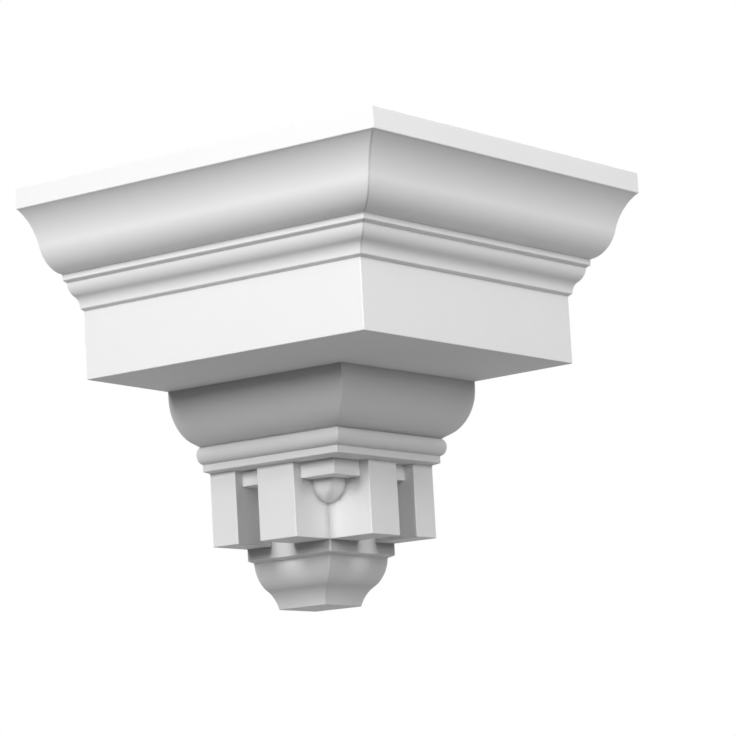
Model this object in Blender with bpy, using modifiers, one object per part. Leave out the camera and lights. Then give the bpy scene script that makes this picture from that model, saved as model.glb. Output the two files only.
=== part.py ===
"""Corner block of an exterior dentil cornice, cast in one piece.

The front run faces -Y and its return faces -X. Both carry the same mouldings, which meet
in a mitre at the outer corner. The back lies flat on the wall, and the right end is cut
square, where the next length of cornice is butted on.
"""

import math

import bmesh
import bpy

# Driving dimensions, in metres.
HEIGHT = 0.350
REACH = 0.3825  # fascia to the wall, and fascia to the joint face
DENTILS_PER_LENGTH = 30
STOCK_LENGTH = 2.0
DENTIL_WIDTH = 0.0415

# Where the origin lies on the wall face, seen from the joint face and from the top.
BEARING_FROM_JOINT = 0.100
BEARING_DROP = HEIGHT / 2

# Insets are measured back from the fascia, drops down from the top.
QUIRK_FALL = 0.0016  # how far the small undersides between two mouldings fall

FASCIA_DROP = 0.0180
SIMA_START = (0.0021, 0.0186)
SIMA_TURN = (0.0266, 0.0471)
SIMA_END = (0.0545, 0.0684)
SIMA_ANGLE = 26.4

LISTEL_BOTTOM = 0.0736

SMALL_OGEE_START = (0.0596, LISTEL_BOTTOM + QUIRK_FALL)
SMALL_OGEE_TURN = (0.0683, 0.0861)
SMALL_OGEE_END = (0.0757, 0.0961)
SMALL_OGEE_ANGLE = 83.0

CORONA_INSET = 0.0805
CORONA_DROPS = (SMALL_OGEE_END[1] + QUIRK_FALL, 0.1578)
SOFFIT_FALL = 0.0018

# A short upright, then a quarter round that ends a little short of level.
OVOLO_START = (0.1866, 0.1652)
OVOLO_TURN = (0.2158, 0.2036)
OVOLO_TOP = (OVOLO_START[0], CORONA_DROPS[1] + SOFFIT_FALL)

BEAD_RADIUS = 0.0078
BEAD_INSET = 0.2295
BEAD_DROP = 0.2143
BEAD_LEAN = 15.0  # how far in front of its top the bead leaves the ovolo, in degrees

BED_INSET = 0.2298
BED_DROPS = (0.2224, 0.2288)

DENTIL_INSET = 0.2395
DENTIL_DROPS = (0.2299, 0.2962)
STRIP_INSET = 0.2497
STRIP_BOTTOM = 0.2442

BAND_INSET = 0.2870
BAND_BOTTOM = 0.3070

FOOT_OGEE_START = (0.2955, BAND_BOTTOM + QUIRK_FALL)
FOOT_OGEE_TURN = (0.3130, 0.3335)
FOOT_OGEE_END = (0.3290, HEIGHT)
FOOT_OGEE_ANGLE = 85.0

PENDANT_OUT = 0.0215
PENDANT_DEPTH = 0.0204

# Straight pieces along each arc, or along each of a double curve's two arcs.
SIMA_STEPS = 14
SMALL_OGEE_STEPS = 8
OVOLO_STEPS = 18
BEAD_STEPS = 16
FOOT_OGEE_STEPS = 12
PENDANT_STEPS = 14

# How far added shapes run past the surfaces that they join or that are cut off.
OVERLAP = 0.012

WELD_DISTANCE = 0.00001
MIRROR_MERGE_DISTANCE = 0.0001

COATING_COLOUR = (0.86, 0.86, 0.86, 1.0)
COATING_ROUGHNESS = 0.7


def arc(start, end, first_angle, steps):
    """Points after start on the circular arc that leaves it first_angle degrees below level."""
    across, down = end[0] - start[0], end[1] - start[1]
    first = math.radians(first_angle)
    half_turn = math.atan2(down, across) - first
    span = math.hypot(across, down) / math.sin(half_turn)
    points = []
    for step in range(1, steps + 1):
        turned = half_turn * step / steps
        chord = span * math.sin(turned)
        inset = start[0] + chord * math.cos(first + turned)
        points.append((inset, start[1] + chord * math.sin(first + turned)))
    return points


def end_angle(start, end, first_angle):
    """The angle below level at which that arc reaches its end."""
    return 2 * math.degrees(math.atan2(end[1] - start[1], end[0] - start[0])) - first_angle


def double_curve(start, turn, end, first_angle, steps):
    """A cyma: two arcs that share their direction where the curve turns over."""
    middle_angle = end_angle(start, turn, first_angle)
    return [start, *arc(start, turn, first_angle, steps), *arc(turn, end, middle_angle, steps)]


def quarter_ellipse(start, end, steps):
    """From a plumb start to a level end, bulging outwards and down."""
    points = []
    for step in range(steps + 1):
        angle = math.pi / 2 * step / steps
        inset = end[0] - (end[0] - start[0]) * math.cos(angle)
        points.append((inset, start[1] + (end[1] - start[1]) * math.sin(angle)))
    return points


def bead(inset, drop, radius, lean, steps):
    """The bead, from where it leaves the ovolo to its lowest point."""
    first = math.radians(lean)
    points = []
    for step in range(steps + 1):
        angle = first + (math.pi - first) * step / steps
        points.append((inset - radius * math.sin(angle), drop - radius * math.cos(angle)))
    return points


def cornice_outline():
    """The moulded face from the top edge to the foot, closed along the foot, the wall and the top."""
    return [
        (0.0, 0.0),
        (0.0, FASCIA_DROP),
        *double_curve(SIMA_START, SIMA_TURN, SIMA_END, SIMA_ANGLE, SIMA_STEPS),
        (SIMA_END[0], LISTEL_BOTTOM),
        *double_curve(
            SMALL_OGEE_START,
            SMALL_OGEE_TURN,
            SMALL_OGEE_END,
            SMALL_OGEE_ANGLE,
            SMALL_OGEE_STEPS,
        ),
        (CORONA_INSET, CORONA_DROPS[0]),
        (CORONA_INSET, CORONA_DROPS[1]),
        OVOLO_TOP,
        OVOLO_START,
        *arc(OVOLO_START, OVOLO_TURN, 90.0, OVOLO_STEPS),
        *bead(BEAD_INSET, BEAD_DROP, BEAD_RADIUS, BEAD_LEAN, BEAD_STEPS),
        (BED_INSET, BED_DROPS[0]),
        (BED_INSET, BED_DROPS[1]),
        (DENTIL_INSET, DENTIL_DROPS[0]),
        (BAND_INSET, DENTIL_DROPS[0]),
        (BAND_INSET, BAND_BOTTOM),
        *double_curve(
            FOOT_OGEE_START,
            FOOT_OGEE_TURN,
            FOOT_OGEE_END,
            FOOT_OGEE_ANGLE,
            FOOT_OGEE_STEPS,
        ),
        (REACH + OVERLAP, HEIGHT),
        (REACH + OVERLAP, 0.0),
    ]


def pendant_outline():
    """The drop under the strip, rooted in the strip above and in the band behind it."""
    front = BAND_INSET - PENDANT_OUT
    in_band = BAND_INSET + OVERLAP
    in_strip = STRIP_BOTTOM - OVERLAP / 2
    tip = (BAND_INSET, STRIP_BOTTOM + PENDANT_DEPTH)
    return [
        (front, in_strip),
        *quarter_ellipse((front, STRIP_BOTTOM), tip, PENDANT_STEPS),
        (in_band, tip[1]),
        (in_band, in_strip),
    ]


def extruded(name, outline, first_x, last_x, collection, corner):
    """A run of moulding: an outline of insets and drops, drawn out along X."""
    curve = bpy.data.curves.new(name, "CURVE")
    curve.dimensions = "2D"
    curve.fill_mode = "BOTH"
    curve.extrude = (last_x - first_x) / 2
    spline = curve.splines.new("POLY")
    spline.points.add(len(outline) - 1)
    for point, (inset, drop) in zip(spline.points, outline):
        point.co = (inset, -drop, 0.0, 1.0)
    spline.use_cyclic_u = True
    drawn = bpy.data.objects.new(name + "_curve", curve)
    collection.objects.link(drawn)
    bpy.context.view_layer.update()

    graph = bpy.context.evaluated_depsgraph_get()
    mesh = bpy.data.meshes.new_from_object(drawn.evaluated_get(graph))
    bpy.data.objects.remove(drawn)
    weld(mesh)
    run = bpy.data.objects.new(name, mesh)
    run.location = ((first_x + last_x) / 2, 0.0, 0.0)
    run.rotation_euler = (math.pi / 2, 0.0, math.pi / 2)
    run.parent = corner
    collection.objects.link(run)
    return run


def weld(mesh):
    """Joins the loose caps of an extruded outline to its sides, with all faces outwards."""
    work = bmesh.new()
    work.from_mesh(mesh)
    bmesh.ops.remove_doubles(work, verts=work.verts, dist=WELD_DISTANCE)
    bmesh.ops.recalc_face_normals(work, faces=work.faces)
    work.to_mesh(mesh)
    work.free()


def block(name, low, high, collection, corner):
    """A plain block between two corners, given as along the run, inset and drop."""
    mesh = bpy.data.meshes.new(name)
    work = bmesh.new()
    bmesh.ops.create_cube(work, size=1.0)
    size = [high[axis] - low[axis] for axis in range(3)]
    middle = [(high[axis] + low[axis]) / 2 for axis in range(3)]
    bmesh.ops.scale(work, vec=size, verts=work.verts)
    work.to_mesh(mesh)
    work.free()
    solid = bpy.data.objects.new(name, mesh)
    solid.location = (middle[0], middle[1], -middle[2])
    solid.parent = corner
    collection.objects.link(solid)
    return solid


def combine(body, other, operation):
    """Adds the other shape to the body, or cuts it away, and keeps it as a hidden helper."""
    other.hide_render = True
    other.display_type = "WIRE"
    step = body.modifiers.new(other.name, "BOOLEAN")
    step.operation = operation
    step.object = other
    step.solver = "EXACT"


def coating():
    """Smooth matt white, as the factory coating shows."""
    material = bpy.data.materials.new("white_coating")
    material.use_nodes = True
    shader = material.node_tree.nodes["Principled BSDF"]
    shader.inputs["Base Color"].default_value = COATING_COLOUR
    shader.inputs["Roughness"].default_value = COATING_ROUGHNESS
    shader.inputs["Metallic"].default_value = 0.0
    return material


def main():
    for old in list(bpy.data.objects):
        bpy.data.objects.remove(old)
    parts = bpy.data.collections.new("dentil_cornice_corner")
    helpers = bpy.data.collections.new("helpers")
    for collection in (parts, helpers):
        bpy.context.scene.collection.children.link(collection)

    # The outer top corner of the fascia, seen from the origin on the wall face.
    corner = bpy.data.objects.new("outer_top_corner", None)
    corner.location = (BEARING_FROM_JOINT - REACH, -REACH, BEARING_DROP)
    parts.objects.link(corner)

    # The half on the front side of the mitre. The return is its mirror image.
    past_end = REACH + OVERLAP
    cornice = extruded("cornice_corner", cornice_outline(), -OVERLAP, past_end, parts, corner)
    cornice.data.materials.append(coating())

    in_body = DENTIL_DROPS[0] - OVERLAP / 4
    behind_band = BAND_INSET + OVERLAP
    strip = block(
        "strip",
        (STRIP_INSET - OVERLAP, STRIP_INSET, in_body),
        (past_end, behind_band, STRIP_BOTTOM),
        helpers,
        corner,
    )
    combine(cornice, strip, "UNION")

    # The corner dentil starts in line with the band, which leaves a square notch at the corner.
    pitch = STOCK_LENGTH / DENTILS_PER_LENGTH
    first = BAND_INSET
    while first < REACH:
        dentil = block(
            f"dentil_{first * 1000:.0f}",
            (first, DENTIL_INSET, in_body),
            (min(first + DENTIL_WIDTH, past_end), behind_band, DENTIL_DROPS[1]),
            helpers,
            corner,
        )
        combine(cornice, dentil, "UNION")
        first += pitch

    pendant = extruded(
        "pendant",
        pendant_outline(),
        BAND_INSET - PENDANT_OUT - OVERLAP,
        BAND_INSET + OVERLAP / 2,
        helpers,
        corner,
    )
    combine(cornice, pendant, "UNION")

    beyond_joint = block(
        "beyond_joint",
        (REACH, -OVERLAP, -OVERLAP),
        (past_end + OVERLAP, past_end + OVERLAP, HEIGHT + OVERLAP),
        helpers,
        corner,
    )
    combine(cornice, beyond_joint, "DIFFERENCE")

    mitre = bpy.data.objects.new("mitre", None)
    mitre.rotation_euler = (0.0, 0.0, -math.pi / 4)
    mitre.parent = corner
    parts.objects.link(mitre)
    mirror = cornice.modifiers.new("return", "MIRROR")
    mirror.mirror_object = mitre
    mirror.use_axis = (True, False, False)
    mirror.use_bisect_axis = (True, False, False)
    mirror.merge_threshold = MIRROR_MERGE_DISTANCE


main()
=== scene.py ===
# %% [markdown]
# # The corner block of a dentil cornice
#
# A cornice crowns an outside wall. This block is its outer corner: a run of mouldings along
# the front, the same mouldings along the return, and a mitre where the two meet. It is one
# smooth white casting, and its surface is made of nothing but flats and circular arcs.
#
# So it is made the way a plasterer makes it. A section is drawn once with ruler and compass,
# the section is run along the wall, small blocks are stuck on, and the corner is mitred.
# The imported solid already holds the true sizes, so it is loaded first.

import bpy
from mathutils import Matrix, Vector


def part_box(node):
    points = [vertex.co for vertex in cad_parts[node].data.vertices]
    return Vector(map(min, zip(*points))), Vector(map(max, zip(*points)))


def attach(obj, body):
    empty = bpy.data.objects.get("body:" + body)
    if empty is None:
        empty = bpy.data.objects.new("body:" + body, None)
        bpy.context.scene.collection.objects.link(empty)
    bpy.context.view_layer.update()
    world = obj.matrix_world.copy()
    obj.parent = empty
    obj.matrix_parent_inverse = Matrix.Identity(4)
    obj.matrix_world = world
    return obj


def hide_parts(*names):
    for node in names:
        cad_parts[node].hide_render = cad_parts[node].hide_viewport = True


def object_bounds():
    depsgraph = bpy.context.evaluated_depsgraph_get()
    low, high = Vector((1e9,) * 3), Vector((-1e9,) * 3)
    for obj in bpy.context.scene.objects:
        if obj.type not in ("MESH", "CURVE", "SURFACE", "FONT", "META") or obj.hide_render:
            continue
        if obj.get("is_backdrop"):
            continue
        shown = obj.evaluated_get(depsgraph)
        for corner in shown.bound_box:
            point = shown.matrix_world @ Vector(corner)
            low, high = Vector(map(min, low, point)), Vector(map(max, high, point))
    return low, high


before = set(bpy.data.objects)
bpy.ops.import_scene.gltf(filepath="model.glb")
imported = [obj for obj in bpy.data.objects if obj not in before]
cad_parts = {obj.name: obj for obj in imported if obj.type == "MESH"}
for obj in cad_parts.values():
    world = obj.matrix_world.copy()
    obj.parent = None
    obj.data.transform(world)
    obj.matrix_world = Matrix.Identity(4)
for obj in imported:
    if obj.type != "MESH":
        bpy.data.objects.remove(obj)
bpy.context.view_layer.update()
low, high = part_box("cornice_corner")
REACH = high.x - low.x
HEIGHT = high.z - low.z
MM = 0.001  # metres in a millimetre
print(f"the block reaches {REACH / MM:.1f} mm from the wall and is {HEIGHT / MM:.1f} mm high")

# %% Load the other modules
import math

import bmesh
import bpy
from mathutils import Matrix, Vector

print(f"the lesson is written for Blender 4.5, and this is {bpy.app.version_string}")

# %% [markdown]
# ## The camera
#
# The camera could be set by eye, but straight mouldings show every degree of error. Parallel
# edges give vanishing points instead, and those give the focal length and the direction.
# The camera stands low and to the left, looks up at the soffit, and is tilted a little.
# A long lens keeps the upright arrises nearly parallel.

# %% Set up the camera
FRAME_PIXELS = 736
FOCAL_PIXELS = 3113
CAMERA_PLACE = (-2.177, -1.791, -0.397)
HEADING = math.radians(36.98)  # from +X towards +Y
PITCH = math.radians(8.80)
ROLL = math.radians(-3.16)
SIGHT = 100.0  # metres, so that the camera sees the whole floor

bpy.ops.object.camera_add(location=CAMERA_PLACE)
camera = bpy.context.object
aim = Matrix.Rotation(HEADING - math.pi / 2, 3, "Z") @ Matrix.Rotation(math.pi / 2 + PITCH, 3, "X")
camera.rotation_euler = (aim @ Matrix.Rotation(ROLL, 3, "Z")).to_euler()
camera.data.lens = camera.data.sensor_width * FOCAL_PIXELS / FRAME_PIXELS
camera.data.clip_end = SIGHT
bpy.context.scene.camera = camera
print(f"the lens is {camera.data.lens:.0f} mm long")

# %% [markdown]
# ## Ruler and compass
#
# The section is a line of edges in an upright plane, square to the run. It could be a bezier
# curve, but its handles say nothing about centres and radii. In edit mode, extruding a vertex
# draws a straight stretch, and spinning a vertex about a centre draws an arc, just as ruler and
# compass do.
#
# An arc turns evenly, so its chord points half way between the direction in which it sets off
# and the one in which it ends. The direction and the place to reach are therefore all that it
# needs, and its radius and centre follow.
#
# All places on the section are given as an inset, back from the fascia, and a drop, down from
# the top. Angles are measured below level.

# %% Helpers that select and deselect
def leave_edit_mode():
    """Back to object mode with nothing selected, so that the next operator acts on its own piece."""
    if bpy.context.object and bpy.context.object.mode == "EDIT":
        bpy.ops.object.mode_set(mode="OBJECT")
    bpy.ops.object.select_all(action="DESELECT")


def alone(piece):
    """Selects one piece and nothing else, in object mode."""
    leave_edit_mode()
    piece.select_set(True)
    bpy.context.view_layer.objects.active = piece


def edit(piece):
    """Opens one piece in edit mode, with none of it selected."""
    alone(piece)
    bpy.ops.object.mode_set(mode="EDIT")
    bpy.ops.mesh.select_all(action="DESELECT")


def pick(kind, wanted):
    """In edit mode, selects just the vertices, edges or faces for which wanted() is true."""
    bpy.ops.mesh.select_mode(type={"verts": "VERT", "edges": "EDGE", "faces": "FACE"}[kind])
    bpy.ops.mesh.select_all(action="DESELECT")
    drawing = bmesh.from_edit_mesh(bpy.context.object.data)
    drawing.normal_update()
    found = [part for part in getattr(drawing, kind) if wanted(part)]
    for part in found:
        part.select_set(True)
    drawing.select_flush_mode()
    bmesh.update_edit_mesh(bpy.context.object.data)
    return len(found)


# %% Helpers that draw
def pen():
    """The inset and drop of the line's last vertex, which is the selected one."""
    drawing = bmesh.from_edit_mesh(bpy.context.object.data)
    (last,) = [vertex for vertex in drawing.verts if vertex.select]
    return last.co.y - low.y, high.z - last.co.z


def line_to(inset, drop):
    """Draws a straight stretch."""
    from_inset, from_drop = pen()
    step = (0.0, inset - from_inset, from_drop - drop)
    bpy.ops.mesh.extrude_region_move(TRANSFORM_OT_translate={"value": step})


def arc_to(inset, drop, leaves, steps):
    """Draws a circular arc that sets off at an angle, and returns the angle it ends at."""
    from_inset, from_drop = pen()
    across, down = inset - from_inset, drop - from_drop
    chord_angle = math.atan2(down, across)
    half_turn = chord_angle - leaves
    radius = math.hypot(across, down) / (2 * math.sin(half_turn))
    centre = Vector((
        section_x,
        low.y + from_inset - radius * math.sin(leaves),
        high.z - from_drop - radius * math.cos(leaves),
    ))
    bpy.ops.mesh.spin(steps=steps, angle=2 * half_turn, center=centre, axis=(1.0, 0.0, 0.0))
    return leaves + 2 * half_turn


# %% [markdown]
# ## The fascia and the cyma
#
# The top course is a plain upright band. Below it the surface sweeps in an S to carry the eye
# back, hollow at first and then rounded. Masons call it a cyma. It is two arcs that share
# their direction where they meet, so each arc starts at the angle where the last one ended.
#
# The line starts from a plane: two of its corners are deleted, and the edge that is left is
# the face of the fascia.

# %% Draw the fascia and the cyma
FASCIA_DROP = 18.0 * MM
CYMA_START = (2.1 * MM, 18.6 * MM)
CYMA_TURN = (26.6 * MM, 47.1 * MM)
CYMA_END = (54.5 * MM, 68.4 * MM)
CYMA_ANGLE = math.radians(26.4)
CYMA_STEPS = 24
PAST = 12.0 * MM  # how far shapes run past the planes that cut them

section_x = high.x + PAST
leave_edit_mode()
bpy.ops.mesh.primitive_plane_add(
    size=FASCIA_DROP,
    location=(section_x, low.y + FASCIA_DROP / 2, high.z - FASCIA_DROP / 2),
    rotation=(0.0, math.pi / 2, 0.0),
)
cornice = bpy.context.object
cornice.name = cornice.data.name = "cornice_block"
bpy.ops.object.transform_apply(location=True, rotation=True, scale=True)

edit(cornice)
pick("verts", lambda vertex: vertex.co.y > low.y + FASCIA_DROP / 2)
bpy.ops.mesh.delete(type="VERT")
pick("verts", lambda vertex: vertex.co.z < high.z - FASCIA_DROP / 2)
line_to(*CYMA_START)
turning = arc_to(*CYMA_TURN, leaves=CYMA_ANGLE, steps=CYMA_STEPS)
turning = arc_to(*CYMA_END, leaves=turning, steps=CYMA_STEPS)
print(f"the cyma ends {math.degrees(turning):.0f} degrees below level")

# %% [markdown]
# ## The listel and the small ogee
#
# A listel is a thin square fillet that separates two curves. Under it the surface steps back
# by a quirk, a small dark groove, and a second, much smaller S brings it down to the corona.
# The step could be level, but a cast piece needs some draft to leave its mould, so each small
# underside falls a little.

# %% Draw the listel and the small ogee
LISTEL_BOTTOM = 73.6 * MM
QUIRK_FALL = 1.6 * MM
SMALL_OGEE_START = (59.6 * MM, LISTEL_BOTTOM + QUIRK_FALL)
SMALL_OGEE_TURN = (68.3 * MM, 86.1 * MM)
SMALL_OGEE_END = (75.7 * MM, 96.1 * MM)
SMALL_OGEE_ANGLE = math.radians(83.0)
SMALL_OGEE_STEPS = 12

line_to(CYMA_END[0], LISTEL_BOTTOM)
line_to(*SMALL_OGEE_START)
turning = arc_to(*SMALL_OGEE_TURN, leaves=SMALL_OGEE_ANGLE, steps=SMALL_OGEE_STEPS)
turning = arc_to(*SMALL_OGEE_END, leaves=turning, steps=SMALL_OGEE_STEPS)
print(f"the small ogee ends {math.degrees(turning):.0f} degrees below level")

# %% [markdown]
# ## The corona and its soffit
#
# The corona is the tall plain face that throws the rain clear of the wall. Its underside, the
# soffit, is the widest flat of all the mouldings, and it is what a passer-by sees first.

# %% Draw the corona and the soffit
CORONA_INSET = 80.5 * MM
CORONA_BOTTOM = 157.8 * MM
SOFFIT_FALL = 1.8 * MM
SOFFIT_INSET = 186.6 * MM

line_to(CORONA_INSET, SMALL_OGEE_END[1] + QUIRK_FALL)
line_to(CORONA_INSET, CORONA_BOTTOM)
line_to(SOFFIT_INSET, CORONA_BOTTOM + SOFFIT_FALL)
print(f"the soffit is {(SOFFIT_INSET - CORONA_INSET) / MM:.1f} mm deep")

# %% [markdown]
# ## The ovolo and the bead
#
# The ovolo carries the soffit on a swelling quarter round. It starts with a short upright, turns
# through an arc that stops a little short of level, and falls in a straight line to the bead. The
# bead is a half round, spun in one go. It leaves the ovolo a little in front of its own top, so
# that the two meet in a shallow groove and not in a deep black slit.

# %% Draw the ovolo and the bead
OVOLO_START = (SOFFIT_INSET, 165.2 * MM)
OVOLO_TURN = (215.8 * MM, 203.6 * MM)
OVOLO_STEPS = 28
BEAD_RADIUS = 7.8 * MM
BEAD_CENTRE = (229.5 * MM, 214.3 * MM)
BEAD_LEAN = math.radians(15.0)
BEAD_STEPS = 24

line_to(*OVOLO_START)
turning = arc_to(*OVOLO_TURN, leaves=math.pi / 2, steps=OVOLO_STEPS)
print(f"the round of the ovolo ends {math.degrees(turning):.0f} degrees below level")
line_to(
    BEAD_CENTRE[0] - BEAD_RADIUS * math.sin(BEAD_LEAN),
    BEAD_CENTRE[1] - BEAD_RADIUS * math.cos(BEAD_LEAN),
)
arc_to(BEAD_CENTRE[0], BEAD_CENTRE[1] + BEAD_RADIUS, leaves=math.pi - BEAD_LEAN, steps=BEAD_STEPS)
print(f"the bead is {2 * BEAD_RADIUS / MM:.1f} mm thick")

# %% [markdown]
# ## The bed listel, the strip and the band
#
# The flat courses below are plain steps. The listel closes the bed moulding, the strip lies
# behind the dentils and shows between them, and the band is the ground that they stand on.

# %% Draw the flat courses
BED_INSET = 229.8 * MM
BED_TOP = 222.4 * MM
BED_BOTTOM = 228.8 * MM
DENTIL_INSET = 239.5 * MM
DENTIL_TOP = 229.9 * MM
STRIP_INSET = 249.7 * MM
STRIP_BOTTOM = 244.2 * MM
BAND_INSET = 287.0 * MM
BAND_BOTTOM = 307.0 * MM

line_to(BED_INSET, BED_TOP)
line_to(BED_INSET, BED_BOTTOM)
line_to(DENTIL_INSET, DENTIL_TOP)
line_to(STRIP_INSET, DENTIL_TOP)
line_to(STRIP_INSET, STRIP_BOTTOM)
line_to(BAND_INSET, STRIP_BOTTOM)
line_to(BAND_INSET, BAND_BOTTOM)
print(f"the band is {(BAND_BOTTOM - STRIP_BOTTOM) / MM:.1f} mm high")

# %% [markdown]
# ## The foot ogee
#
# The last S turns the cornice in to the wall. It has the form of the small ogee, rounded above
# and hollow below, at about twice the size. From its foot the line runs along the underside, up
# behind the wall face and back along the top, and a face is filled in across it.

# %% Draw the foot ogee and close the section
FOOT_OGEE_START = (295.5 * MM, BAND_BOTTOM + QUIRK_FALL)
FOOT_OGEE_TURN = (313.0 * MM, 333.5 * MM)
FOOT_OGEE_END = (329.0 * MM, HEIGHT)
FOOT_OGEE_ANGLE = math.radians(85.0)
FOOT_OGEE_STEPS = 18

line_to(*FOOT_OGEE_START)
turning = arc_to(*FOOT_OGEE_TURN, leaves=FOOT_OGEE_ANGLE, steps=FOOT_OGEE_STEPS)
turning = arc_to(*FOOT_OGEE_END, leaves=turning, steps=FOOT_OGEE_STEPS)
line_to(REACH + PAST, HEIGHT)
line_to(REACH + PAST, 0.0)
bpy.ops.mesh.select_all(action="SELECT")
bpy.ops.mesh.edge_face_add()
print(f"the section has {len(bmesh.from_edit_mesh(cornice.data).verts)} points")

# %% [markdown]
# ## Easing the arrises
#
# No cast edge that points outwards is perfectly sharp: the coating rounds it by nearly a
# millimetre, and the round catches a thin line of light. The inner corners stay sharp and dark.
# A Bevel modifier on the finished block would do it, but it stumbles where many pieces meet.
# Here the corners of the flat section are rounded first, and the run that is drawn out from it
# has them all along.

# %% Ease the corners of the section
ARRIS = 0.8 * MM
ARRIS_STEPS = 4
SHARP = math.radians(24.0)


def is_arris(vertex):
    """True where an outline turns sharply and its corner points outwards."""
    one, other = [edge.other_vert(vertex).co - vertex.co for edge in vertex.link_edges]
    return vertex.link_loops[0].is_convex and math.pi - one.angle(other) > SHARP


eased = pick("verts", is_arris)
bpy.ops.mesh.bevel(offset=ARRIS, segments=ARRIS_STEPS, affect="VERTICES", clamp_overlap=True)
print(f"{eased} corners are eased by {ARRIS / MM:.1f} mm")

# %% [markdown]
# ## Running the moulding
#
# On site the plasterer drags a metal template of the section along the wall. Here the face is
# extruded along X, from past the joint to past the outer corner. Both ends are cut later.

# %% Run the section along the front
bpy.ops.mesh.select_all(action="SELECT")
run_length = REACH + 2 * PAST
bpy.ops.mesh.extrude_region_move(TRANSFORM_OT_translate={"value": (-run_length, 0.0, 0.0)})
bpy.ops.mesh.select_all(action="SELECT")
bpy.ops.mesh.normals_make_consistent(inside=False)
leave_edit_mode()
print(f"the run has {len(cornice.data.polygons)} faces")

# %% [markdown]
# ## The dentils
#
# Dentils are the square teeth under the bed moulding. The tools that could make them are an
# Array, or cuts through a solid course, but real ones are set out singly, so that one ends up
# at each side of the corner. One tooth is a cube with eased arrises, and it is copied along
# the run at the pitch. Its back and top go into the run, to leave no seam.

# %% Make one dentil
DENTIL_WIDTH = 41.5 * MM
DENTIL_BOTTOM = 296.2 * MM
STOCK_LENGTH = 2.0  # metres of cornice in a stock length
DENTILS_IN_STOCK = 30
DENTIL_PITCH = STOCK_LENGTH / DENTILS_IN_STOCK
ROOT = 3.0 * MM  # how far an added block goes into what carries it


def block(name, start, end):
    """A box with eased arrises, between two corners given as along the run, inset and drop."""
    leave_edit_mode()
    bpy.ops.mesh.primitive_cube_add(size=1.0)
    made = bpy.context.object
    made.name = made.data.name = name
    made.scale = [abs(b - a) for a, b in zip(start, end)]
    along, inset, drop = [(a + b) / 2 for a, b in zip(start, end)]
    made.location = (low.x + along, low.y + inset, high.z - drop)
    bpy.ops.object.transform_apply(location=True, rotation=True, scale=True)
    edit(made)
    bpy.ops.mesh.select_all(action="SELECT")
    bpy.ops.mesh.bevel(offset=ARRIS, segments=ARRIS_STEPS, affect="EDGES")
    leave_edit_mode()
    return made


dentil = block(
    "dentil",
    (BAND_INSET, DENTIL_INSET, DENTIL_TOP - ROOT),
    (BAND_INSET + DENTIL_WIDTH, BAND_INSET + PAST, DENTIL_BOTTOM),
)
print(f"a dentil is {DENTIL_WIDTH / MM:.1f} mm wide, and one stands every {DENTIL_PITCH / MM:.1f} mm")

# %% Copy it along the run
dentils = [dentil]
while BAND_INSET + len(dentils) * DENTIL_PITCH < REACH:
    alone(dentils[-1])
    bpy.ops.object.duplicate_move(TRANSFORM_OT_translate={"value": (DENTIL_PITCH, 0.0, 0.0)})
    bpy.ops.object.transform_apply(location=True, rotation=True, scale=True)
    dentils.append(bpy.context.object)
print(f"{len(dentils)} dentils stand on this side of the corner")

# %% [markdown]
# ## The pendant
#
# In the open corner between the teeth hangs a small drop. It is a quarter round on each side,
# mitred like the mouldings. A quarter round is a square bar with one edge planed away, and
# bevelling one edge by the whole thickness of the bar does just that.

# %% Make the pendant
PENDANT_OUT = 21.5 * MM
PENDANT_DEPTH = 20.4 * MM
PENDANT_STEPS = 16
ROUND = 0.5  # the bevel profile that is a true arc
WELD = 0.01 * MM  # points closer than this are one point

inner_corner = Vector((low.x + BAND_INSET, low.y + BAND_INSET, high.z - STRIP_BOTTOM))
bar = inner_corner - Vector((PENDANT_OUT,) * 3) / 2
leave_edit_mode()
bpy.ops.mesh.primitive_cube_add(size=PENDANT_OUT, location=bar)
pendant = bpy.context.object
pendant.name = pendant.data.name = "pendant"
bpy.ops.object.transform_apply(location=True, rotation=True, scale=True)

edit(pendant)
pick("edges", lambda edge: all(v.co.y < bar.y and v.co.z < bar.z for v in edge.verts))
bpy.ops.mesh.bevel(offset=PENDANT_OUT, segments=PENDANT_STEPS, affect="EDGES", profile=ROUND)
bpy.ops.mesh.select_all(action="SELECT")
bpy.ops.mesh.remove_doubles(threshold=WELD)
bpy.ops.transform.resize(
    value=((PENDANT_OUT + 2 * PAST) / PENDANT_OUT, 1.0, PENDANT_DEPTH / PENDANT_OUT),
    center_override=(bar.x, bar.y, inner_corner.z),
)
print(f"the quarter round has {len(bmesh.from_edit_mesh(pendant.data).faces)} faces")

# %% Root it in the strip and the band
FLAT = 0.99  # how far a normal must point along an axis for a face to count as flat

pick("faces", lambda face: face.normal.z > FLAT)
bpy.ops.mesh.extrude_region_move(TRANSFORM_OT_translate={"value": (0.0, 0.0, ROOT)})
pick("faces", lambda face: face.normal.y > FLAT)
bpy.ops.mesh.extrude_region_move(TRANSFORM_OT_translate={"value": (0.0, ROOT, 0.0)})
leave_edit_mode()
print(f"the pendant goes {ROOT / MM:.1f} mm up into the strip and back into the band")

# %% [markdown]
# ## One casting
#
# The blocks could be left standing in the run, but then their hidden backs would be in the
# mesh too. The real thing is one casting with one skin, so each block is united with the run
# by a Boolean, and the block itself is thrown away.

# %% Unite the blocks with the run
def unite(body, added):
    """Adds a block to the body for good."""
    alone(body)
    union = body.modifiers.new(added.name, "BOOLEAN")
    union.operation = "UNION"
    union.solver = "EXACT"
    union.object = added
    bpy.ops.object.modifier_apply(modifier=union.name)
    bpy.data.objects.remove(added)


for added in [*dentils, pendant]:
    unite(cornice, added)
print(f"the run with its blocks has {len(cornice.data.polygons)} faces")

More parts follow.
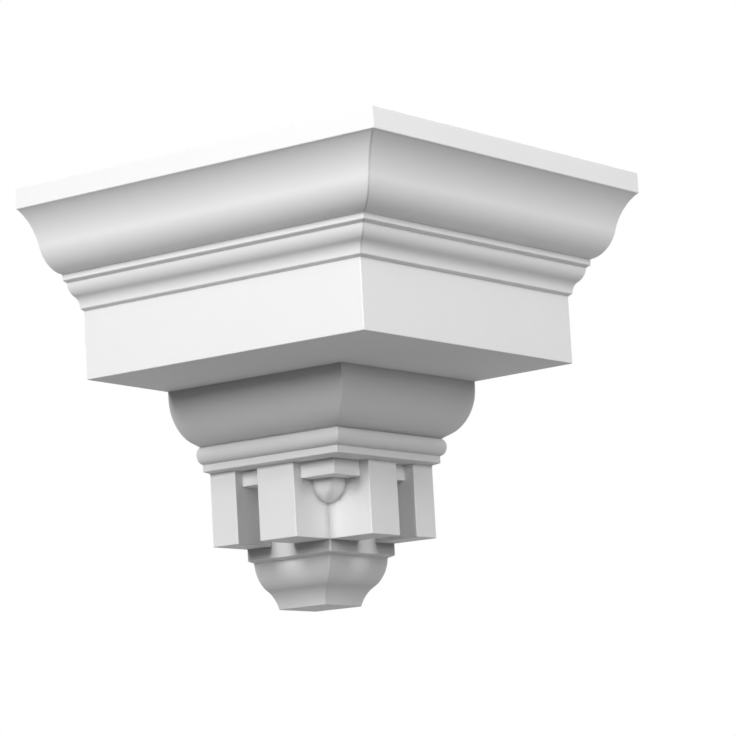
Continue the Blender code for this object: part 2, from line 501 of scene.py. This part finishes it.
# %% [markdown]
# ## The joint and the mitre
#
# Now the saw. One cut squares the run off at the joint face. The other runs at 45 degrees
# through the outer corner. A Boolean with two big blocks could do it, but Bisect is simpler: it
# cuts the whole mesh with a plane and clears one side. The joint is filled with a face, and the
# mitre is left open, because the return will grow on from there.

# %% Cut the run at the joint and at the mitre
edit(cornice)
bpy.ops.mesh.select_all(action="SELECT")
bpy.ops.mesh.bisect(
    plane_co=(high.x, 0.0, 0.0), plane_no=(1.0, 0.0, 0.0), clear_outer=True, use_fill=True
)
bpy.ops.mesh.select_all(action="SELECT")
bpy.ops.mesh.bisect(
    plane_co=low, plane_no=(1.0, -1.0, 0.0), clear_inner=True, threshold=WELD
)
leave_edit_mode()
print(f"the front half has {len(cornice.data.polygons)} faces after both cuts")

# %% [markdown]
# ## The return
#
# The return is the mirror image of the front across the mitre. Modelling it again would be
# twice the work, and the two might not meet. The Mirror modifier needs to know the plane, so
# an empty is placed at the corner and turned until its own X axis stands square to the cut.
# The filled joint face comes out on the other side as the wall face.

# %% Mirror the return
bpy.ops.object.empty_add(location=low, rotation=(0.0, 0.0, -math.pi / 4))
mitre = bpy.context.object
alone(cornice)
mirror = cornice.modifiers.new("return", "MIRROR")
mirror.mirror_object = mitre
mirror.merge_threshold = WELD
bpy.ops.object.modifier_apply(modifier=mirror.name)
bpy.data.objects.remove(mitre)
print(f"front and return have {len(cornice.data.polygons)} faces together")

# %% [markdown]
# Where the halves meet, some points lie double or almost double. They are merged, edges of no
# length are dissolved, and all normals are turned outwards again, because a mirrored half can
# come out inside in. An edge that doesn't join two faces would be a hole in the skin.

# %% Tidy the seam and see that the skin is closed
def count_open_edges():
    """How many edges of the piece in edit mode don't join two faces."""
    return pick("edges", lambda edge: not edge.is_manifold)


edit(cornice)
bpy.ops.mesh.select_all(action="SELECT")
bpy.ops.mesh.remove_doubles(threshold=WELD)
bpy.ops.mesh.dissolve_degenerate(threshold=WELD)
bpy.ops.mesh.select_all(action="SELECT")
bpy.ops.mesh.normals_make_consistent(inside=False)
print(f"open edges in the skin: {count_open_edges()}")
leave_edit_mode()

# %% [markdown]
# ## The arris of the mitre
#
# The corner's own arrises aren't eased yet, because they only came with the cut. They are the
# edges that lie in the plane of the mitre and turn sharply. The top and the other level faces
# just run through, and their seam is dissolved. The soffit falls a little, so its two sides meet
# at a faint angle, which stays as it is.

# %% Dissolve the seam where faces run through
EVEN = math.radians(0.5)  # faces that meet at less than this run through


def in_mitre(edge):
    """True for an edge in the plane of the mitre."""
    return all(abs((v.co.x - low.x) - (v.co.y - low.y)) < 2 * WELD for v in edge.verts)


edit(cornice)
seams = pick("edges", lambda edge: in_mitre(edge) and edge.calc_face_angle() < EVEN)
bpy.ops.mesh.dissolve_edges(use_verts=False)
print(f"{seams} edges of the seam are dissolved")

# %% [markdown]
# The pendant is a drop, so its mitre is rounded much more than the rest. Its edges are told
# apart by their height. A wide bevel of an even number of steps leaves one line of edges in the
# middle, and that line turns too little to be picked again.

# %% Round the pendant, then ease the mitre
PENDANT_EASE = 4.0 * MM
PENDANT_EASE_STEPS = 6


def on_pendant(edge):
    """True for an edge between the heights of the pendant's top and tip."""
    drops = [high.z - vertex.co.z for vertex in edge.verts]
    return min(drops) > STRIP_BOTTOM - WELD and max(drops) < STRIP_BOTTOM + PENDANT_DEPTH + WELD


def is_mitre_arris(edge):
    """True for a sharp edge of the mitre that points outwards."""
    return in_mitre(edge) and edge.is_convex and edge.calc_face_angle() > SHARP


rounded = pick("edges", lambda edge: is_mitre_arris(edge) and on_pendant(edge))
bpy.ops.mesh.bevel(
    offset=PENDANT_EASE, segments=PENDANT_EASE_STEPS, affect="EDGES", clamp_overlap=False
)
mitred = pick("edges", is_mitre_arris)
bpy.ops.mesh.bevel(offset=ARRIS, segments=ARRIS_STEPS, affect="EDGES", clamp_overlap=False)
print(f"{rounded} edges are rounded, {mitred} are eased, and {count_open_edges()} are open")
leave_edit_mode()

# %% [markdown]
# ## Shading
#
# The arcs are made of short flat strips. Smooth shading hides the joins by turning the normals
# at each vertex half way between its faces, but on the big flats that would show as a smear
# beside each arris. Weighted normals let the larger face win, so the flats stay flat.

# %% Smooth the curves and keep the flats
CREASE = math.radians(40.0)  # a sharper turn than this stays a crease

alone(cornice)
bpy.ops.object.shade_smooth_by_angle(angle=CREASE)
weighted = cornice.modifiers.new("weighted", "WEIGHTED_NORMAL")
weighted.keep_sharp = True
bpy.ops.object.modifier_apply(modifier=weighted.name)
print(f"{cornice.name} has {len(cornice.data.polygons)} faces")

# %% [markdown]
# ## Shader maths
#
# A material that varies over the surface is mostly sums on numbers that come out of textures.
# Drawn as nodes they sprawl. This small class wraps a socket, so that a sum is written as a
# sum and adds its own Math nodes.

# %% Numbers on sockets
class Value:
    """A number that changes over the surface: the socket that it comes out of."""

    def __init__(self, tree, socket):
        self.tree = tree
        self.socket = socket

    def combine(self, operation, other, swapped=False):
        """The result of a Math node on this value and another value or number."""
        node = self.tree.nodes.new("ShaderNodeMath")
        node.operation = operation
        own, others = (1, 0) if swapped else (0, 1)
        self.tree.links.new(self.socket, node.inputs[own])
        if isinstance(other, Value):
            self.tree.links.new(other.socket, node.inputs[others])
        else:
            node.inputs[others].default_value = other
        return Value(self.tree, node.outputs[0])

    def __add__(self, other):
        return self.combine("ADD", other)

    def __sub__(self, other):
        return self.combine("SUBTRACT", other)

    def __rsub__(self, other):
        return self.combine("SUBTRACT", other, swapped=True)

    def __mul__(self, other):
        return self.combine("MULTIPLY", other)

    __radd__ = __add__
    __rmul__ = __mul__


# %% Every other node
class Recipe:
    """The node tree of a material or a world, with one way to add any node."""

    def __init__(self, tree):
        self.tree = tree

    def add(self, kind, settings=None, inputs=None):
        """Adds a node, sets it, and feeds its sockets with numbers, colours or links."""
        node = self.tree.nodes.new(kind)
        for name, setting in (settings or {}).items():
            setattr(node, name, setting)
        for name, value in (inputs or {}).items():
            self.feed(node.inputs[name], value)
        return node

    def feed(self, socket, value):
        """Links a value or a socket to a socket, or sets it to a plain number or colour."""
        if isinstance(value, Value):
            value = value.socket
        if isinstance(value, bpy.types.NodeSocket):
            self.tree.links.new(value, socket)
        else:
            socket.default_value = value

    def number(self, node, output=0):
        """One output of a node, ready for sums."""
        return Value(self.tree, node.outputs[output])


# %% [markdown]
# ## The white coating
#
# The block is rigid foam under a smooth matt white coating. A single flat white would look like
# plastic from a mould. Such a coat is sprayed on in passes, so it has a very fine stipple,
# thinner and thicker places that are a shade apart, and a sheen that wanders a little.

# %% Start the coating
COAT_WHITE = 0.75
CLOUD_SCALE = 9.0  # features in a metre
MOTTLE_SCALE = 70.0
STIPPLE_SCALE = 900.0
CLOUD_TONE = 0.03  # how far apart a noise sets the palest and the darkest white
MOTTLE_TONE = 0.02
STIPPLE_TONE = 0.02
MIDDLE = 0.5  # the middle value of a noise

material = bpy.data.materials.new("white_coating")
material.use_nodes = True
coat = Recipe(material.node_tree)
shader = coat.tree.nodes["Principled BSDF"]
place = coat.add("ShaderNodeTexCoord").outputs["Object"]


def noise(scale, detail, roughness=0.5):
    """Noise from 0 to 1, with a scale in features a metre."""
    node = coat.add(
        "ShaderNodeTexNoise",
        inputs={"Vector": place, "Scale": scale, "Detail": detail, "Roughness": roughness},
    )
    return coat.number(node)


cloud = noise(CLOUD_SCALE, detail=3.0)
mottle = noise(MOTTLE_SCALE, detail=4.0, roughness=0.6)
stipple = noise(STIPPLE_SCALE, detail=3.0, roughness=0.6)
tone = COAT_WHITE + CLOUD_TONE * (cloud - MIDDLE)
tone = tone + MOTTLE_TONE * (mottle - MIDDLE) + STIPPLE_TONE * (stipple - MIDDLE)
print(f"the largest grains of the stipple are {1.0 / STIPPLE_SCALE / MM:.1f} mm wide")

# %% [markdown]
# ## Hollows and arrises
#
# In the photograph every inner corner is a thin dark line. Most of that is plain shadow, and the
# colour is darkened in the grooves as well, which is painted shade on top of the real shadow. The
# arrises get the opposite, a painted highlight that makes them a shade lighter. Both could be painted
# by hand, but an Ambient Occlusion node measures them. It sends short rays out from the surface and
# tells how many are free. With inside set, it sends them into the solid, and few are free near an
# arris.

# %% Find the hollows and the arrises
HOLLOW_REACH = 6.0 * MM
ARRIS_REACH = 2.0 * MM
# painted shade: the colour is darkened in the hollows, where shade falls anyway
HOLLOW_PAINTED_SHADE = 0.08  # the share of the white that the deepest hollow loses
PAINTED_SHADE_SPREAD = 1.4  # the higher, the closer the painted shade keeps to the inner corners
# painted highlight: the thinnest arrises are made a shade lighter
ARRIS_PAINTED_HIGHLIGHT = 0.02  # the share that a thin arris gains
FEELERS = 16  # short rays from each point


def closeness(reach, inside):
    """From 0 on open ground to 1 in a deep hollow, or at a thin arris when inside is set."""
    node = coat.add(
        "ShaderNodeAmbientOcclusion",
        {"samples": FEELERS, "inside": inside, "only_local": True},
        {"Distance": reach},
    )
    return 1.0 - coat.number(node, "AO")


hollow = closeness(HOLLOW_REACH, inside=False).combine("POWER", PAINTED_SHADE_SPREAD)
arris = closeness(ARRIS_REACH, inside=True)
# painted shade in the hollows and a painted highlight on the thin arrises
tone = tone * (1.0 - HOLLOW_PAINTED_SHADE * hollow) * (1.0 + ARRIS_PAINTED_HIGHLIGHT * arris)
# the darkening in the hollows is painted shade
print(f"dust gathers within {HOLLOW_REACH / MM:.1f} mm of an inner corner")

# %% [markdown]
# ## A dark line down the mitre
#
# In the photograph a fine dark line runs down the arris of the mitre on the two S curves, and not on
# the flat courses. Here the colour is simply made darker along that line. It could be an edge with a
# material of its own, but its place is easy to compute: on the mitre the distances from both fascias
# are equal. The square of a number is small on both sides of nought, which saves a node.

# %% Darken a fine line down the mitre
SEAM_HALF_WIDTH = 1.1 * MM
MITRE_LINE_DARKENING = 0.22

spread = coat.add("ShaderNodeSeparateXYZ", inputs={"Vector": place})
off_mitre = coat.number(spread, "X") - coat.number(spread, "Y") - (low.x - low.y)
on_mitre = (off_mitre * off_mitre).combine("LESS_THAN", SEAM_HALF_WIDTH ** 2)
curves_middle = high.z - (CYMA_START[1] + SMALL_OGEE_END[1]) / 2
curves_half = (SMALL_OGEE_END[1] - CYMA_START[1]) / 2
off_curves = coat.number(spread, "Z") - curves_middle
on_curves = (off_curves * off_curves).combine("LESS_THAN", curves_half ** 2)
# the colour is made darker in a fine line down the mitre of the curves
tone = tone * (1.0 - MITRE_LINE_DARKENING * on_mitre * on_curves)
white = coat.add("ShaderNodeCombineColor", inputs={"Red": tone, "Green": tone, "Blue": tone})
# the printed line is the darker line down the mitre
print(f"the parting line falls {2 * curves_half / MM:.1f} mm down the mitre")

# %% [markdown]
# ## The bare foam
#
# The coating stops at the faces that are cut: the joint and the wall face. They show the foam
# itself, cream coloured and dull, with fine open pores. The photograph doesn't show them, so
# this is what such blocks usually look like. A mask finds the two faces by their place. The
# pores are cells of a Voronoi texture, and only the middle of each cell is sunk.

# %% Add the foam on the cut faces
FOAM = (0.86, 0.80, 0.67, 1.0)
PORE = (0.56, 0.49, 0.38, 1.0)
PORE_SCALE = 700.0  # cells in a metre
PORE_RIM = 0.35  # how far a pore reaches from the middle of its cell, in cells
PALEST_PORE = 0.4  # the share of its dark colour that the palest pore still has
SKIN = 0.1 * MM  # how near to a cut a point has to be to lie on it

at_joint = coat.number(spread, "X").combine("GREATER_THAN", high.x - SKIN)
at_wall = coat.number(spread, "Y").combine("GREATER_THAN", high.y - SKIN)
cut = at_joint.combine("MAXIMUM", at_wall)
cells = coat.add("ShaderNodeTexVoronoi", inputs={"Vector": place, "Scale": PORE_SCALE})
pore = coat.number(
    coat.add(
        "ShaderNodeMapRange",
        inputs={"Value": cells.outputs["Distance"], "From Min": PORE_RIM, "From Max": 0.0},
    )
)


def mixed(amount, first, second):
    """One colour changing into another.

    A Mix node has sockets of the same name for numbers, vectors and colours, and only those in
    use are enabled.
    """
    node = coat.add("ShaderNodeMix", {"data_type": "RGBA"})
    for name, value in (("Factor", amount), ("A", first), ("B", second)):
        coat.feed(next(s for s in node.inputs if s.name == name and s.enabled), value)
    return next(s for s in node.outputs if s.enabled)


foam = mixed(pore * (PALEST_PORE + (1.0 - PALEST_PORE) * mottle), FOAM, PORE)
coat.feed(shader.inputs["Base Color"], mixed(cut, white.outputs["Color"], foam))
print(f"the pores stand about {1.0 / PORE_SCALE / MM:.1f} mm apart")

# %% [markdown]
# ## Sheen and relief
#
# The coat is matt but not dead: it is a little smoother in some passes of the spray than in
# others, dust dulls the hollows, and bare foam doesn't shine at all. The stipple and the pores
# are far too fine to model, so a Bump node tilts the normals instead. Its height is in
# millimetres here, and its distance turns them into metres.

# %% Set the sheen and the relief
COAT_MATT = 0.60
CLOUD_MATT = 0.14
HOLLOW_MATT = 0.10
FOAM_MATT = 0.95
STIPPLE_DEPTH = 0.04  # millimetres
GRAIN_DEPTH = 0.1
PORE_DEPTH = 0.25
COAT_SPECULAR = 0.35

matt = COAT_MATT + CLOUD_MATT * cloud + HOLLOW_MATT * hollow
coat.feed(shader.inputs["Roughness"], matt + cut * (FOAM_MATT - matt))
relief = STIPPLE_DEPTH * (1.0 - cut) * stipple + cut * (GRAIN_DEPTH * stipple - PORE_DEPTH * pore)
bump = coat.add("ShaderNodeBump", inputs={"Height": relief, "Distance": MM, "Strength": 1.0})
coat.feed(shader.inputs["Normal"], bump.outputs["Normal"])
shader.inputs["Specular IOR Level"].default_value = COAT_SPECULAR
cornice.data.materials.clear()
cornice.data.materials.append(material)
print(f"{material.name} has {len(coat.tree.nodes)} nodes")

# %% [markdown]
# ## The studio
#
# The block is shot like a catalogue picture, against plain white. Its two sides differ in tone,
# and the dentils throw short soft shadows on the band from the left and from the right. So a low
# soft box faces each side almost squarely, and the left one is the stronger. Two wider and weaker
# boxes fill in between them, and one of those hangs high up. A soft box is an area light, and the
# wider it is, the softer its shadows. The right one is tall, because the shadow under the soffit
# fades slowly on that side. Each is set by its compass angle, its height above level, its size
# and the light that it brings to the block.

# %% Set up the soft boxes
BOX_DISTANCE = 2.5
block_middle = (low + high) / 2


def soft_box(name, around, up, size, strength):
    """An area light aimed at the block. It stands around degrees from -X towards -Y.

    Its size is a width and a height in metres, and its strength is what it would bring to a
    surface that faces it. Light thins out with the square of the distance, so the
    power of the lamp grows with it.
    """
    around, up = math.radians(around), math.radians(up)
    towards = Vector(
        (-math.cos(around) * math.cos(up), -math.sin(around) * math.cos(up), math.sin(up))
    )
    leave_edit_mode()
    bpy.ops.object.light_add(
        type="AREA",
        location=block_middle + BOX_DISTANCE * towards,
        rotation=towards.to_track_quat("Z", "Y").to_euler(),
    )
    box = bpy.context.object
    box.name = name
    box.data.shape = "RECTANGLE"
    box.data.size, box.data.size_y = size
    box.data.energy = strength * math.pi * BOX_DISTANCE ** 2
    box.visible_camera = False


soft_box("left_box", around=-4.0, up=17.0, size=(0.8, 1.1), strength=2.64)
soft_box("right_box", around=94.0, up=17.0, size=(0.8, 1.6), strength=1.83)
soft_box("front_box", around=45.0, up=20.0, size=(1.6, 1.6), strength=1.34)
soft_box("high_box", around=70.0, up=40.0, size=(1.6, 1.6), strength=0.33)
print(f"the soft boxes stand {BOX_DISTANCE:.1f} m from the middle of the block")

# %% [markdown]
# The rest of the light comes from a dome all round. Its lower half is what lights the soffit and
# the other undersides. Two more patches shine overhead and behind the block. They keep the top and
# the cut faces from going black when the camera walks round, and the one behind also gets a
# little way under the soffit. The camera itself sees the dome as plain white paper.

# %% Light the dome
BELOW = 0.86
OVERHEAD = 0.4
BEHIND = 0.9
DOWN = (0.0, 0.0, -1.0)
UP = (0.0, 0.0, 1.0)
BACK = (0.7, 0.7, 0.1)
PLAIN_WHITE = (1.0, 1.0, 1.0, 1.0)

world = bpy.data.worlds.new("dome")
world.use_nodes = True
bpy.context.scene.world = world
sky = Recipe(world.node_tree)
looking = sky.add("ShaderNodeTexCoord").outputs["Generated"]


def share(direction, least, most):
    """A share from 0 to 1 that grows as the dome is seen nearer to one direction."""
    along = sky.add("ShaderNodeVectorMath", {"operation": "DOT_PRODUCT"}, {0: looking, 1: direction})
    return sky.number(
        sky.add(
            "ShaderNodeMapRange",
            {"interpolation_type": "SMOOTHSTEP"},
            {"Value": along.outputs["Value"], "From Min": least, "From Max": most},
        )
    )


glow = BELOW * share(DOWN, least=0.7, most=1.0)
glow = glow + OVERHEAD * share(UP, least=0.5, most=1.0)
glow = glow + BEHIND * share(BACK, least=0.2, most=1.0)
seen = sky.number(sky.add("ShaderNodeLightPath"), "Is Camera Ray")
background = world.node_tree.nodes["Background"]
background.inputs["Color"].default_value = PLAIN_WHITE
sky.feed(background.inputs["Strength"], seen + (1.0 - seen) * glow)
bpy.context.scene.view_settings.view_transform = "Standard"
print(f"the dome has {len(sky.tree.nodes)} nodes")

# %% [markdown]
# The floor is a sheet of pale paper. It lies so far below the block that a camera can still get
# under the soffit, and it lets the lower half of the dome through, so that it doesn't darken the
# undersides.

# %% Lay the floor
FLOOR_SIZE = 60.0  # metres
FLOOR_BELOW = 2.0
PAPER = (0.7, 0.7, 0.7, 1.0)
PAPER_MATT = 0.9

leave_edit_mode()
bpy.ops.mesh.primitive_plane_add(size=FLOOR_SIZE, location=(0.0, 0.0, low.z - FLOOR_BELOW))
floor = bpy.context.object
floor.name = "floor"
floor.visible_diffuse = False
floor.visible_shadow = False
paper = bpy.data.materials.new("pale_floor")
paper.use_nodes = True
paper_shader = paper.node_tree.nodes["Principled BSDF"]
paper_shader.inputs["Base Color"].default_value = PAPER
paper_shader.inputs["Roughness"].default_value = PAPER_MATT
floor.data.materials.append(paper)
floor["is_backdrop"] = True
print(f"the floor lies {FLOOR_BELOW:.1f} m below the foot of the block")

# %% [markdown]
# ## Handing over
#
# The finished block rides on the part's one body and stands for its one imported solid, which is
# hidden. Its size is written down beside the solid's, because the two have to agree.

# %% Hand the piece over
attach(cornice, "root")
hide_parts("cornice_corner")
visual_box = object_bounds()
span = visual_box[1] - visual_box[0]
print(f"the finished block spans {[round(side / MM, 1) for side in span]} mm")
